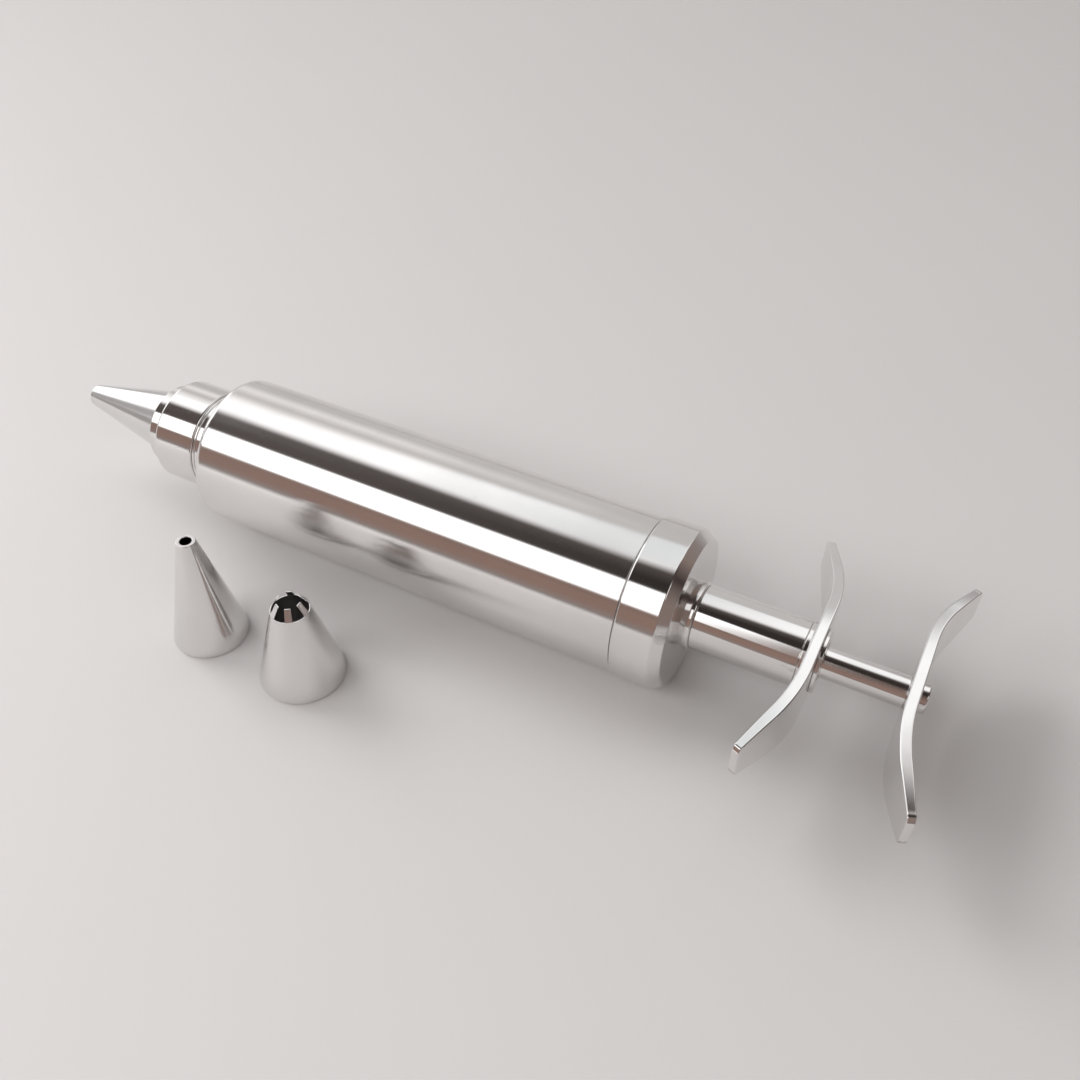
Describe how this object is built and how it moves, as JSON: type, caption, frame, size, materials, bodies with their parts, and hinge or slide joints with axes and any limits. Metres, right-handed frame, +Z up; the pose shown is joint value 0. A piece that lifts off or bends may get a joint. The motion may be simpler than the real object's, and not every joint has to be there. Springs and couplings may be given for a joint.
{
  "type": "cookie press",
  "caption": "Syringe-type steel cookie press: barrel, screw-on nozzle and rear cap, plunger with thumb rest, bent finger grip, and spare nozzles standing beside it.",
  "frame": {"origin": "centre of the mounted nozzle's outlet, on the press axis", "axes": "+X from the outlet back along the press axis to the thumb rest, +Z up as the press lies on a table, +Y away from the spare nozzles"},
  "size_m": [0.2253, 0.0831, 0.037],
  "materials": {
    "polished_steel": "polished stainless steel with fine turning marks",
    "satin_steel": "soft polished stainless plate",
    "spun_steel": "spun stainless steel with turning marks",
    "silicone": "matt food-grade silicone",
    "nylon": "natural nylon"
  },
  "bodies": {
    "barrel": {"barrel": "polished_steel", "threaded_neck": "polished_steel", "neck_ring": "polished_steel"},
    "nozzle": {"mounted_nozzle": "spun_steel", "nozzle_gasket": "silicone"},
    "coupling_nut": {"coupling_nut": "polished_steel"},
    "cap_carrier": {"cap_gasket": "silicone"},
    "rear_cap": {"rear_cap": "polished_steel", "sleeve_base_ring": "polished_steel", "guide_sleeve": "polished_steel", "sleeve_lock_nut": "polished_steel", "front_bush": "nylon", "rear_bush": "nylon", "grip_front_ring": "polished_steel", "finger_grip": "satin_steel", "grip_nut": "polished_steel"},
    "piston": {"piston_front_disc": "polished_steel", "piston_seal": "silicone", "piston_rear_disc": "polished_steel"},
    "plunger": {"plunger_rod": "polished_steel", "piston_nut": "polished_steel", "piston_washer": "satin_steel", "thumb_rest": "satin_steel", "thumb_nut": "polished_steel"},
    "spare_plain": {"spare_plain_nozzle": "spun_steel"},
    "spare_star": {"spare_star_nozzle": "spun_steel"}
  },
  "joints": [
    {"name": "nozzle_advance", "type": "slide", "parent": "barrel", "child": "nozzle", "axis": [-1, 0, 0], "range_m": [0, 0.006]},
    {"name": "nut_turn", "type": "hinge", "parent": "nozzle", "child": "coupling_nut", "pos_m": [0.036, 0, 0], "axis": [-1, 0, 0], "range_deg": [0, 1080]},
    {"name": "cap_advance", "type": "slide", "parent": "barrel", "child": "cap_carrier", "axis": [1, 0, 0], "range_m": [0, 0.006]},
    {"name": "cap_turn", "type": "hinge", "parent": "cap_carrier", "child": "rear_cap", "pos_m": [0.164, 0, 0], "axis": [1, 0, 0], "range_deg": [0, 1080]},
    {"name": "plunger_slide", "type": "slide", "parent": "cap_carrier", "child": "piston", "axis": [1, 0, 0], "range_m": [-0.015, 0.086]},
    {"name": "plunger_turn", "type": "hinge", "parent": "piston", "child": "plunger", "pos_m": [0.15, 0, 0], "axis": [1, 0, 0], "continuous": true},
    {"name": "plain_nozzle_lift", "type": "slide", "parent": "barrel", "child": "spare_plain", "axis": [0, 0, 1], "range_m": [0, 0.05]},
    {"name": "star_nozzle_lift", "type": "slide", "parent": "barrel", "child": "spare_star", "axis": [0, 0, 1], "range_m": [0, 0.05]}
  ],
  "couplings": [
    {"joint": "nozzle_advance", "follows": "nut_turn", "m_per_rad": 0.000318},
    {"joint": "cap_advance", "follows": "cap_turn", "m_per_rad": 0.000318}
  ]
}
